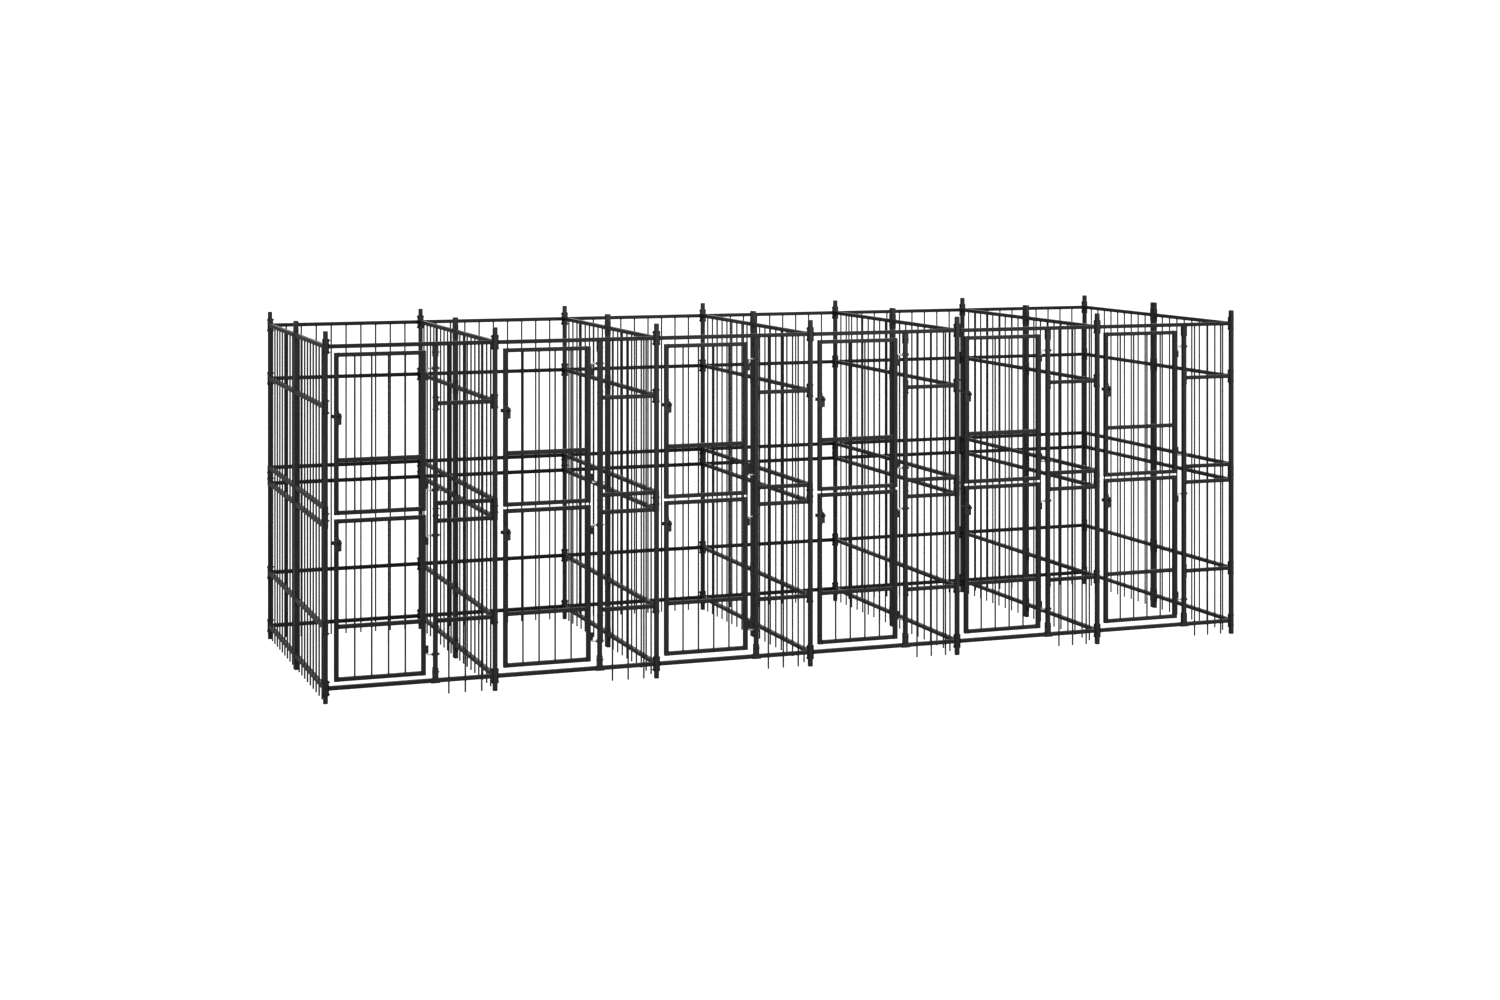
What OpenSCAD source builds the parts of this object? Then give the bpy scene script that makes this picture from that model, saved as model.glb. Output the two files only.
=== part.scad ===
// Row of six kennel cells, two bays deep, with an upper and a lower door leaf on each cell.
// Origin: centre of the foot of the front left corner post. +X runs along the front,
// +Y runs to the back and +Z is up, so the doors face -Y.

/* [Row] */
// Width of one cell, between post centres
cell_w = 960; // [940:5:1100]
// Depth of one bay, between post centres
bay_d = 960; // [900:5:1100]
// Height of the posts above the floor
post_h = 2054; // [2030:2:2200]

/* [Tubes and bars] */
// Width of the square tube of the posts and door stiles
post_w = 24; // [23:0.5:25]
// Depth of the oblong middle posts, front to back
middle_post_d = 50; // [40:1:60]
// Width of the square tube of the rails
rail_w = 23; // [20:0.5:24]
// Wall thickness of every tube
wall = 1.5; // [1.2:0.1:2]
// Diameter of the round bars
bar_dia = 10; // [8:0.5:12]
// Spacing of the bars in the rear panels and the front grilles
bar_pitch = 94.6; // [85:0.1:96]
// Spacing of the bars in the panels that run front to back
side_bar_pitch = 93.4; // [84:0.1:94.6]
// Gap between the lower ends of the bars and the floor
bar_foot_gap = 5; // [2:1:30]

/* [Rails] */
// Height of the top rail above the middle of the post, and drop of the bottom rail below it
outer_rail_offset = 942.5; // [935:0.5:950]
// The same for the second rail and the fifth rail
inner_rail_offset = 608.5; // [600:0.5:615]
// The same for the two rails near the middle
middle_rail_offset = 49.5; // [48:0.5:52]

/* [Doors] */
// Centre of a leaf's latch stile, from the post at its left
latch_stile_x = 60; // [58:0.5:64]
// Centre of a leaf's hinge stile, from the same post
hinge_stile_x = 549; // [540:0.5:552]
// Centre of the door post, from the same post
door_post_x = 616.5; // [614:0.5:620]
// Distance from a leaf's bottom rail to its top rail, between centres
leaf_h = 873; // [869:0.5:874]
// Height of the bottom rail of the upper leaves
upper_leaf_z = 1048.8; // [1046:0.2:1049]
// Height of the bottom rail of the lower leaves
lower_leaf_z = 138.5; // [136:0.5:141]
// How much lower the first cell's lower leaf hangs, from the setting of its hinge bolts
first_leaf_drop = 9; // [0:0.5:10]
// Spacing of the bars in a leaf
leaf_bar_pitch = 94.6; // [85:0.1:100]

/* [Hinges] */
// Diameter of the hinge bolts
hinge_bolt_dia = 10; // [8:0.5:10]
// Running clearance between a hinge bolt and its barrel, on the radius
hinge_clearance = 0.05; // [0.02:0.01:0.1]
// Height of a hinge barrel
barrel_h = 40; // [36:1:44]

/* [Latches] */
// Height of the latch bolt above the bottom rail of an upper leaf
upper_latch_up = 533.5; // [520:0.5:533.5]
// Height of the latch bolt above the bottom rail of a lower leaf
lower_latch_up = 755; // [700:1:770]
// Travel of a latch bolt
latch_travel = 27; // [25:0.5:27]

/* [Hidden] */

coat = "#2a2a2c";
zinc = "#c4c7ca";
dark_zinc = "#323335";
plastic = "#1c1c1d";

cells = 6;
back_y = 2 * bay_d;
half_post = post_w / 2;
half_rail = rail_w / 2;
half_middle = middle_post_d / 2;
plate = 3;
eps = 1;
bar_r = bar_dia / 2;

// Heights of the rails and of the brackets that hold them
mid_z = post_h / 2;
top_z = mid_z + outer_rail_offset;
second_z = mid_z + inner_rail_offset;
fifth_z = mid_z - inner_rail_offset;
bottom_z = mid_z - outer_rail_offset;
rail_heights = [
    top_z, second_z, mid_z + middle_rail_offset,
    mid_z - middle_rail_offset, fifth_z, bottom_z
];
single_bracket_h = 84;
single_bolt_up = 33;
double_bracket_h = 2 * middle_rail_offset + 24;
double_bolt_up = 19;
// Each bracket: height of its centre, its own height, and how far its two bolts sit from the centre
brackets = [
    [top_z, single_bracket_h, single_bolt_up],
    [second_z, single_bracket_h, single_bolt_up],
    [mid_z, double_bracket_h, double_bolt_up],
    [fifth_z, single_bracket_h, single_bolt_up],
    [bottom_z, single_bracket_h, single_bolt_up]
];
grille_brackets = [brackets[1], brackets[2], brackets[3]];

// Bars run from near the floor into the top rail and stop just under its upper wall
bar_top_z = top_z + half_rail - wall - 2;

// Post caps and feet
cap_t = 3;
foot_t = 4;
plug_h = 12;
plug_gap = 0.1;

// Clamp bolts
bolt_r = 3;
bolt_hole_r = 3.2;
bolt_head_h = 4;
nut_h = 5;
hex_across = 10;
bolt_tail = 4;

// Door post
door_post_bottom = bottom_z + half_rail + plate;
door_post_top = top_z - half_rail - plate;
socket_h = 60;
socket_gap = 0.1;
socket_bolt_up = 35;
sill_saddle_l = 52;

// Front grille, with an assembly gap between its right end plate and the saddle beside it
grille_gap = 1;
grille_left = door_post_x + half_post + plate;
grille_right = cell_w - half_post - 2 * plate - grille_gap;
grille_mid = (door_post_x + half_post + cell_w - half_post) / 2;
grille_bar_x = [for (k = [-1 : 1]) grille_mid + k * bar_pitch];
grille_bar_hole_r = bar_r + 0.2;

// Door leaves
cross_rail_up = leaf_h / 3;
leaf_mid_x = (latch_stile_x + hinge_stile_x) / 2;

// Hinges
hinge_r = hinge_bolt_dia / 2;
hinge_offset = 9;
hinge_x = hinge_stile_x + half_post + hinge_offset;
hinge_ups = [133, 737];
top_hinge_rise = 16;
barrel_r = 8;
washer_r = 8.5;
washer_t = 2.5;
washer_gap = 0.2;
bend_r = 8;
bend_start = barrel_h / 2 + washer_t + 2 * washer_gap + 0.1;
pin_depth = 16;
hinge_nut_h = 8;
hinge_nut_across = 16;
hinge_tail_x = door_post_x + half_post + hinge_nut_h + 7;
hinge_hole_r = hinge_r + 0.2;

// Latches: positions run from the centre of the latch stile, and from the latch bolt's own height
latch_front = -half_post - 8;
latch_outline = [
    [-12, 36], [-16, 18], [-16, -24], [-12, -50], [12, -50], [12, -46],
    [26, -46], [26, 12], [14, 22], [12, 22], [12, 36]
];
latch_bolt_h = 20;
latch_bolt_t = 4;
latch_gap = 0.3;
bolt_tip_x = -27;
bolt_jog_x = -20.5;
bolt_end_x = 22;
knob_x = 18;
neck_r = 3;
knob_r = 8;
knob_h = 9;
knob_gap = 4;
tip_half_d = 6;
keeper_gap = 0.6;

function post_x(i) = i * cell_w;
function lower_leaf_base(cell) = lower_leaf_z - (cell == 1 ? first_leaf_drop : 0);
function upper_latch_z(cell) = upper_leaf_z + upper_latch_up;
function lower_latch_z(cell) = lower_leaf_base(cell) + lower_latch_up;
function cell_x(cell) = (cell - 1) * cell_w;

// Plates stacked on the left and right faces of a post, where a bracket is doubled by an end plate
function left_stack(i, gap) = i > 0 ? 2 * plate + gap : plate;
function right_stack(i, doubled) = (i < cells && doubled) ? 2 * plate : plate;

// The top and bottom brackets also hold the header and sill rails, which run the width of the cell
function full_width(b) = b == brackets[0] || b == brackets[4];

// Heights of the hinges, as [cell, height of the barrel's middle, +1 or -1 for the bolt's side,
// length of bare pin beyond the washer]. The top hinge of each upper leaf is set high.
hinges = [
    for (cell = [1 : cells])
        for (upper = [true, false])
            for (k = [0, 1])
                [cell, (upper ? upper_leaf_z : lower_leaf_base(cell)) + hinge_ups[k],
                 k == 0 ? -1 : 1, (upper && k == 1) ? top_hinge_rise : 0]
];

// Distance from a barrel's middle to the start of the bend, and to the middle of the threaded leg
function bend_from(h) = bend_start + h[3];
function leg_from(h) = bend_from(h) + bend_r;

// Clamp bolts, as [place of the head's bearing face, turn about Z, grip]
function bolt_across(i, y, z, left, right) =
    i == 0
        ? [[post_x(i) - half_post - left, y, z], 0, post_w + left + right]
        : [[post_x(i) + half_post + right, y, z], 180, post_w + left + right];

clamp_places = concat(
    [for (i = [0 : cells]) for (b = brackets) for (s = [-1, 1])
        bolt_across(i, 0, b[0] + s * b[2], left_stack(i, full_width(b) ? 0 : grille_gap),
                    right_stack(i, full_width(b)))],
    [for (i = [0 : cells]) for (b = brackets) for (s = [-1, 1])
        bolt_across(i, back_y, b[0] + s * b[2], left_stack(i, 0), right_stack(i, true))],
    [for (i = [0 : cells]) for (b = brackets) for (s = [-1, 1])
        [[post_x(i), bay_d - half_middle - plate, b[0] + s * b[2]], 90, middle_post_d + 2 * plate]],
    [for (i = [0 : cells - 1]) for (b = grille_brackets) for (s = [-1, 1])
        [[post_x(i) + door_post_x - half_post, 0, b[0] + s * b[2]], 0, post_w + plate]],
    [for (i = [0 : cells - 1]) for (z = [bottom_z + half_rail + socket_bolt_up,
                                        top_z - half_rail - socket_bolt_up])
        [[post_x(i) + door_post_x - half_post - plate - socket_gap, 0, z], 0,
         post_w + 2 * plate + 2 * socket_gap]]
);

// Box given by its low and high corners
module box(low, high) {
    translate(low)
        cube(high - low);
}

// Round hole or rod along X, centred on the origin
module rod_x(r, length) {
    rotate([0, 90, 0])
        cylinder(r = r, h = length, center = true, $fn = 32);
}

// Round hole or rod along Y, centred on the origin
module rod_y(r, length) {
    rotate([90, 0, 0])
        cylinder(r = r, h = length, center = true, $fn = 32);
}

// Upright tube of w by d, from z0 to z1
module tube_z(w, d, z0, z1) {
    difference() {
        box([-w / 2, -d / 2, z0], [w / 2, d / 2, z1]);
        box([-w / 2 + wall, -d / 2 + wall, z0 - eps], [w / 2 - wall, d / 2 - wall, z1 + eps]);
    }
}

// Upright tube closed at both ends
module closed_tube_z(w, z0, z1) {
    difference() {
        box([-w / 2, -w / 2, z0], [w / 2, w / 2, z1]);
        box([-w / 2 + wall, -w / 2 + wall, z0 + wall], [w / 2 - wall, w / 2 - wall, z1 - wall]);
    }
}

// Rail along X from x0 to x1, at height z
module rail_x(x0, x1, z) {
    difference() {
        box([x0, -half_rail, z - half_rail], [x1, half_rail, z + half_rail]);
        box([x0 - eps, -half_rail + wall, z - half_rail + wall],
            [x1 + eps, half_rail - wall, z + half_rail - wall]);
    }
}

// Rail along Y from y0 to y1, at height z
module rail_y(y0, y1, z) {
    difference() {
        box([-half_rail, y0, z - half_rail], [half_rail, y1, z + half_rail]);
        box([-half_rail + wall, y0 - eps, z - half_rail + wall],
            [half_rail - wall, y1 + eps, z + half_rail - wall]);
    }
}

// Upright bar from z0 to z1
module bar(z0, z1) {
    translate([0, 0, z0])
        cylinder(r = bar_r, h = z1 - z0, $fn = 32);
}

// End plate across X at x0, with its two bolt holes
module end_plate_x(x0, b) {
    difference() {
        box([x0, -half_post, b[0] - b[1] / 2], [x0 + plate, half_post, b[0] + b[1] / 2]);
        for (s = [-1, 1])
            translate([x0, 0, b[0] + s * b[2]])
                rod_x(bolt_hole_r, 4 * plate);
    }
}

// End plate across Y at y0, with its two bolt holes
module end_plate_y(y0, b) {
    difference() {
        box([-half_post, y0, b[0] - b[1] / 2], [half_post, y0 + plate, b[0] + b[1] / 2]);
        for (s = [-1, 1])
            translate([0, y0, b[0] + s * b[2]])
                rod_y(bolt_hole_r, 4 * plate);
    }
}

// Saddle that wraps three sides of a post; the post's centre is the origin and the web is on its +Y side
module saddle(b) {
    reach = 8;
    difference() {
        box([-half_post - plate, -reach, b[0] - b[1] / 2],
            [half_post + plate, half_post + plate, b[0] + b[1] / 2]);
        box([-half_post, -reach - eps, b[0] - b[1] / 2 - eps],
            [half_post, half_post, b[0] + b[1] / 2 + eps]);
        for (s = [-1, 1])
            translate([0, 0, b[0] + s * b[2]])
                rod_x(bolt_hole_r, 2 * post_w);
    }
}

// One welded panel between a corner or front post and a middle post
module bay_panel() {
    rail_start = half_post + plate;
    rail_end = bay_d - half_middle - plate;
    for (b = brackets) {
        saddle(b);
        end_plate_y(rail_end, b);
    }
    for (z = rail_heights)
        rail_y(rail_start, rail_end, z);
    for (k = [-4 : 4])
        translate([0, (rail_start + rail_end) / 2 + k * side_bar_pitch, 0])
            bar(bar_foot_gap, bar_top_z);
}

// Two bay panels in line, at post line i
module panel_line(i) {
    translate([post_x(i), 0, 0]) {
        bay_panel();
        translate([0, back_y, 0])
            mirror([0, 1, 0])
                bay_panel();
    }
}

// Post tube with bolt holes across X
module cross_drilled_post(top) {
    difference() {
        tube_z(post_w, post_w, foot_t, top);
        for (b = brackets)
            for (s = [-1, 1])
                translate([0, 0, b[0] + s * b[2]])
                    rod_x(bolt_hole_r, 2 * post_w);
    }
}

// Front posts, with slots in the right wall for the latch bolts
module front_posts() {
    color(coat)
        for (i = [0 : cells])
            translate([post_x(i), 0, 0])
                difference() {
                    cross_drilled_post(post_h - cap_t);
                    if (i < cells)
                        for (z = [upper_latch_z(i + 1), lower_latch_z(i + 1)])
                            box([half_post - 2 * wall, -tip_half_d - keeper_gap,
                                 z - latch_bolt_h / 2 - keeper_gap],
                                [half_post + eps, tip_half_d + keeper_gap,
                                 z + latch_bolt_h / 2 + keeper_gap]);
                }
}

module middle_posts() {
    color(coat)
        for (i = [0 : cells])
            translate([post_x(i), bay_d, 0])
                difference() {
                    tube_z(post_w, middle_post_d, foot_t, post_h - cap_t);
                    for (b = brackets)
                        for (s = [-1, 1])
                            translate([0, 0, b[0] + s * b[2]])
                                rod_y(bolt_hole_r, 2 * middle_post_d);
                }
}

module rear_posts() {
    color(coat)
        for (i = [0 : cells])
            translate([post_x(i), back_y, 0])
                cross_drilled_post(post_h - cap_t);
}

// Door posts stand between the sill rail and the header rail
module door_posts() {
    color(coat)
        for (cell = [1 : cells])
            translate([cell_x(cell) + door_post_x, 0, 0])
                difference() {
                    tube_z(post_w, post_w, door_post_bottom, door_post_top);
                    for (b = grille_brackets)
                        for (s = [-1, 1])
                            translate([0, 0, b[0] + s * b[2]])
                                rod_x(bolt_hole_r, 2 * post_w);
                    for (z = [bottom_z + half_rail + socket_bolt_up, top_z - half_rail - socket_bolt_up])
                        translate([0, 0, z])
                            rod_x(bolt_hole_r, 2 * post_w);
                    for (h = hinges)
                        if (h[0] == cell)
                            translate([0, 0, h[1] + h[2] * leg_from(h)])
                                rod_x(hinge_hole_r, 2 * post_w);
                }
}

// Plug for a post end: a flat head of thickness t on the origin plane, with its plug below
module end_plug(w, d, t) {
    box([-w / 2, -d / 2, 0], [w / 2, d / 2, t]);
    box([-w / 2 + wall + plug_gap, -d / 2 + wall + plug_gap, -plug_h],
        [w / 2 - wall - plug_gap, d / 2 - wall - plug_gap, 0]);
}

// One end plug on each of the 21 posts, at height z
module all_post_ends(z, t, up) {
    for (i = [0 : cells])
        for (row = [0, 1, 2])
            translate([post_x(i), row * bay_d, z])
                mirror([0, 0, up ? 0 : 1])
                    end_plug(post_w, row == 1 ? middle_post_d : post_w, t);
}

module post_caps() {
    color(plastic)
        all_post_ends(post_h - cap_t, cap_t, true);
}

module post_feet() {
    color(plastic)
        all_post_ends(foot_t, foot_t, false);
}

// Square socket for a door post's end, on the origin plane, opening upwards
module socket() {
    outer = half_post + socket_gap + plate;
    inner = half_post + socket_gap;
    difference() {
        box([-outer, -outer, 0], [outer, outer, socket_h]);
        box([-inner, -inner, plate], [inner, inner, socket_h + eps]);
        translate([0, 0, socket_bolt_up])
            rod_x(bolt_hole_r, 2 * post_w);
    }
}

// Saddle under the sill rail, below a door post, joined to the sides of the socket above
module sill_saddle() {
    side = half_rail + plate;
    difference() {
        box([-sill_saddle_l / 2, -side, -rail_w - plate], [sill_saddle_l / 2, side, 0]);
        box([-sill_saddle_l / 2 - eps, -half_rail, -rail_w], [sill_saddle_l / 2 + eps, half_rail, eps]);
    }
}

module door_post_sockets() {
    color(coat)
        for (cell = [1 : cells])
            translate([cell_x(cell) + door_post_x, 0, 0]) {
                translate([0, 0, bottom_z + half_rail]) {
                    socket();
                    sill_saddle();
                }
                translate([0, 0, top_z - half_rail])
                    mirror([0, 0, 1])
                        socket();
            }
}

module left_end_panels() { color(coat) panel_line(0); }
module divider_1_panels() { color(coat) panel_line(1); }
module divider_2_panels() { color(coat) panel_line(2); }
module divider_3_panels() { color(coat) panel_line(3); }
module divider_4_panels() { color(coat) panel_line(4); }
module divider_5_panels() { color(coat) panel_line(5); }
module right_end_panels() { color(coat) panel_line(6); }

// One rear panel per cell, with nine bars and six rails between end plates
module rear_panels() {
    start = half_post + plate;
    end = cell_w - half_post - plate;
    color(coat)
        for (cell = [1 : cells])
            translate([cell_x(cell), back_y, 0]) {
                for (b = brackets) {
                    end_plate_x(start, b);
                    end_plate_x(end - plate, b);
                }
                for (z = rail_heights)
                    rail_x(start + plate, end - plate, z);
                for (k = [-4 : 4])
                    translate([cell_w / 2 + k * bar_pitch, 0, 0])
                        bar(bar_foot_gap, bar_top_z);
            }
}

// Rail across the whole front of a cell, with an end plate at each post
module front_rail(b) {
    start = half_post + plate;
    end = cell_w - half_post - plate;
    end_plate_x(start, b);
    end_plate_x(end - plate, b);
    rail_x(start + plate, end - plate, b[0]);
}

module header_rails() {
    color(coat)
        for (cell = [1 : cells])
            translate([cell_x(cell), 0, 0])
                front_rail(brackets[0]);
}

// The sill rails are drilled for the grille bars that pass through them
module sill_rails() {
    color(coat)
        for (cell = [1 : cells])
            translate([cell_x(cell), 0, 0])
                difference() {
                    front_rail(brackets[4]);
                    for (x = grille_bar_x)
                        translate([x, 0, bottom_z - rail_w])
                            cylinder(r = grille_bar_hole_r, h = 2 * rail_w, $fn = 32);
                }
}

// Narrow fixed grille between the door post and the next post
module front_grilles() {
    color(coat)
        for (cell = [1 : cells])
            translate([cell_x(cell), 0, 0]) {
                for (b = grille_brackets) {
                    end_plate_x(grille_left - plate, b);
                    end_plate_x(grille_right, b);
                }
                for (k = [1 : 4])
                    rail_x(grille_left, grille_right, rail_heights[k]);
                for (x = grille_bar_x)
                    translate([x, 0, 0])
                        bar(bar_foot_gap, top_z - half_rail);
            }
}

// Hexagon bolt along +X; its head's bearing face is on the origin plane
module hex_bolt(r, across, head_h, length) {
    rotate([0, 90, 0]) {
        translate([0, 0, -head_h])
            cylinder(d = across / cos(30), h = head_h, $fn = 6);
        cylinder(r = r, h = length, $fn = 32);
    }
}

// Hexagon nut along +X; its bearing face is on the origin plane
module hex_nut(r, across, h) {
    rotate([0, 90, 0])
        difference() {
            cylinder(d = across / cos(30), h = h, $fn = 6);
            translate([0, 0, -eps])
                cylinder(r = r + 0.05, h = h + 2 * eps, $fn = 32);
        }
}

module clamp_bolts() {
    color(coat)
        for (c = clamp_places)
            translate(c[0])
                rotate([0, 0, c[1]])
                    hex_bolt(bolt_r, hex_across, bolt_head_h, c[2] + nut_h + bolt_tail);
}

module clamp_nuts() {
    color(coat)
        for (c = clamp_places)
            translate(c[0])
                rotate([0, 0, c[1]])
                    translate([c[2], 0, 0])
                        hex_nut(bolt_r, hex_across, nut_h);
}

// Puts its children on a hinge's axis at the middle of its barrel, with +Z towards the bolt's bend
module at_hinge(h) {
    translate([cell_x(h[0]) + hinge_x, 0, h[1]])
        mirror([0, 0, h[2] > 0 ? 0 : 1])
            children();
}

// J-shaped bolts: an upright pin in the barrel, a bend, and a threaded leg through the door post
module hinge_bolts() {
    color(zinc)
        for (h = hinges)
            at_hinge(h) {
                translate([0, 0, -pin_depth])
                    cylinder(r = hinge_r, h = pin_depth + bend_from(h), $fn = 32);
                translate([bend_r, 0, bend_from(h)])
                    rotate([90, 0, 0])
                        rotate([0, 0, 90])
                            rotate_extrude(angle = 90, $fn = 32)
                                translate([bend_r, 0])
                                    circle(r = hinge_r, $fn = 32);
                translate([bend_r, 0, leg_from(h)])
                    rotate([0, 90, 0])
                        cylinder(r = hinge_r, h = hinge_tail_x - hinge_x - bend_r, $fn = 32);
            }
}

// A nut on each side of the door post
module hinge_nuts() {
    color(coat)
        for (h = hinges)
            at_hinge(h)
                for (x = [door_post_x - half_post - hinge_nut_h, door_post_x + half_post])
                    translate([x - hinge_x, 0, leg_from(h)])
                        hex_nut(hinge_r, hinge_nut_across, hinge_nut_h);
}

// A washer between each barrel and its bolt's bend
module hinge_washers() {
    color(zinc)
        for (h = hinges)
            at_hinge(h)
                translate([0, 0, barrel_h / 2 + washer_gap])
                    difference() {
                        cylinder(r = washer_r, h = washer_t, $fn = 32);
                        translate([0, 0, -eps])
                            cylinder(r = hinge_r + 0.3, h = washer_t + 2 * eps, $fn = 32);
                    }
}

// Hinge barrel with a flat back on the stile; the hinge axis is the origin
module barrel() {
    difference() {
        union() {
            cylinder(r = barrel_r, h = barrel_h, center = true, $fn = 32);
            box([-hinge_offset, -barrel_r, -barrel_h / 2], [0, barrel_r, barrel_h / 2]);
        }
        cylinder(r = hinge_r + hinge_clearance, h = 2 * barrel_h, center = true, $fn = 32);
    }
}

// Door leaf whose bottom rail is at height base
module leaf(cell, base) {
    color(coat)
        translate([cell_x(cell), 0, base]) {
            for (x = [latch_stile_x, hinge_stile_x])
                translate([x, 0, 0])
                    closed_tube_z(post_w, -half_rail, leaf_h + half_rail);
            for (z = [0, cross_rail_up, leaf_h])
                rail_x(latch_stile_x + half_post, hinge_stile_x - half_post, z);
            for (k = [-1.5 : 1.5])
                translate([leaf_mid_x + k * leaf_bar_pitch, 0, 0])
                    bar(-half_rail + wall + eps, leaf_h + half_rail - wall - eps);
            for (up = hinge_ups)
                translate([hinge_x, 0, up])
                    barrel();
        }
}

// Housing on the front of a latch stile, with a channel for the bolt and a slot for the knob's neck.
// It tapers in above and below to the width of the stile, and stands out to the right over the opening.
module latch_housing(cell, z) {
    back = -half_post;
    channel_h = latch_bolt_h / 2 + latch_gap;
    channel_front = back - latch_bolt_t - 2 * latch_gap;
    color(plastic)
        translate([cell_x(cell) + latch_stile_x, 0, z])
            difference() {
                translate([0, back, 0])
                    rotate([90, 0, 0])
                        linear_extrude(height = back - latch_front)
                            polygon(latch_outline);
                box([-half_post - 5, channel_front, -channel_h],
                    [bolt_end_x + 2 * latch_gap, back + eps, channel_h]);
                box([knob_x - latch_travel - neck_r - latch_gap, latch_front - eps, -neck_r - latch_gap],
                    [knob_x + neck_r + latch_gap, back, neck_r + latch_gap]);
            }
}

// Latch bolt: a strip on the front of the stile, a jog round its edge, a square tip and a knob
module latch_bolt(cell, z) {
    strip_back = -half_post - latch_gap;
    strip_front = strip_back - latch_bolt_t;
    half_h = latch_bolt_h / 2;
    color(dark_zinc)
        translate([cell_x(cell) + latch_stile_x, 0, z]) {
            box([bolt_jog_x, strip_front, -half_h], [bolt_end_x, strip_back, half_h]);
            box([bolt_jog_x, strip_front, -half_h], [bolt_jog_x + latch_bolt_t, tip_half_d, half_h]);
            box([bolt_tip_x, -tip_half_d, -half_h], [bolt_jog_x, tip_half_d, half_h]);
            translate([knob_x, 0, 0])
                rotate([90, 0, 0]) {
                    translate([0, 0, -strip_front - eps])
                        cylinder(r = neck_r, h = strip_front - latch_front + knob_gap + 2 * eps, $fn = 32);
                    translate([0, 0, -latch_front + knob_gap])
                        cylinder(r = knob_r, h = knob_h, $fn = 32);
                }
        }
}

module upper_leaf_1() { leaf(1, upper_leaf_z); }
module upper_leaf_2() { leaf(2, upper_leaf_z); }
module upper_leaf_3() { leaf(3, upper_leaf_z); }
module upper_leaf_4() { leaf(4, upper_leaf_z); }
module upper_leaf_5() { leaf(5, upper_leaf_z); }
module upper_leaf_6() { leaf(6, upper_leaf_z); }
module lower_leaf_1() { leaf(1, lower_leaf_base(1)); }
module lower_leaf_2() { leaf(2, lower_leaf_base(2)); }
module lower_leaf_3() { leaf(3, lower_leaf_base(3)); }
module lower_leaf_4() { leaf(4, lower_leaf_base(4)); }
module lower_leaf_5() { leaf(5, lower_leaf_base(5)); }
module lower_leaf_6() { leaf(6, lower_leaf_base(6)); }
module upper_latch_1() { latch_housing(1, upper_latch_z(1)); }
module upper_latch_2() { latch_housing(2, upper_latch_z(2)); }
module upper_latch_3() { latch_housing(3, upper_latch_z(3)); }
module upper_latch_4() { latch_housing(4, upper_latch_z(4)); }
module upper_latch_5() { latch_housing(5, upper_latch_z(5)); }
module upper_latch_6() { latch_housing(6, upper_latch_z(6)); }
module lower_latch_1() { latch_housing(1, lower_latch_z(1)); }
module lower_latch_2() { latch_housing(2, lower_latch_z(2)); }
module lower_latch_3() { latch_housing(3, lower_latch_z(3)); }
module lower_latch_4() { latch_housing(4, lower_latch_z(4)); }
module lower_latch_5() { latch_housing(5, lower_latch_z(5)); }
module lower_latch_6() { latch_housing(6, lower_latch_z(6)); }
module upper_bolt_1() { latch_bolt(1, upper_latch_z(1)); }
module upper_bolt_2() { latch_bolt(2, upper_latch_z(2)); }
module upper_bolt_3() { latch_bolt(3, upper_latch_z(3)); }
module upper_bolt_4() { latch_bolt(4, upper_latch_z(4)); }
module upper_bolt_5() { latch_bolt(5, upper_latch_z(5)); }
module upper_bolt_6() { latch_bolt(6, upper_latch_z(6)); }
module lower_bolt_1() { latch_bolt(1, lower_latch_z(1)); }
module lower_bolt_2() { latch_bolt(2, lower_latch_z(2)); }
module lower_bolt_3() { latch_bolt(3, lower_latch_z(3)); }
module lower_bolt_4() { latch_bolt(4, lower_latch_z(4)); }
module lower_bolt_5() { latch_bolt(5, lower_latch_z(5)); }
module lower_bolt_6() { latch_bolt(6, lower_latch_z(6)); }

front_posts();
middle_posts();
rear_posts();
door_posts();
post_caps();
post_feet();
door_post_sockets();
left_end_panels();
divider_1_panels();
divider_2_panels();
divider_3_panels();
divider_4_panels();
divider_5_panels();
right_end_panels();
rear_panels();
header_rails();
sill_rails();
front_grilles();
clamp_bolts();
clamp_nuts();
hinge_bolts();
hinge_nuts();
hinge_washers();
upper_leaf_1();
upper_leaf_2();
upper_leaf_3();
upper_leaf_4();
upper_leaf_5();
upper_leaf_6();
lower_leaf_1();
lower_leaf_2();
lower_leaf_3();
lower_leaf_4();
lower_leaf_5();
lower_leaf_6();
upper_latch_1();
upper_latch_2();
upper_latch_3();
upper_latch_4();
upper_latch_5();
upper_latch_6();
lower_latch_1();
lower_latch_2();
lower_latch_3();
lower_latch_4();
lower_latch_5();
lower_latch_6();
upper_bolt_1();
upper_bolt_2();
upper_bolt_3();
upper_bolt_4();
upper_bolt_5();
upper_bolt_6();
lower_bolt_1();
lower_bolt_2();
lower_bolt_3();
lower_bolt_4();
lower_bolt_5();
lower_bolt_6();
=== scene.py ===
"""Looks for the row of kennel cells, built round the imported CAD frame.
Metres, +X along the door front, +Y to the back and +Z up, as in the CAD."""

import math

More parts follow.
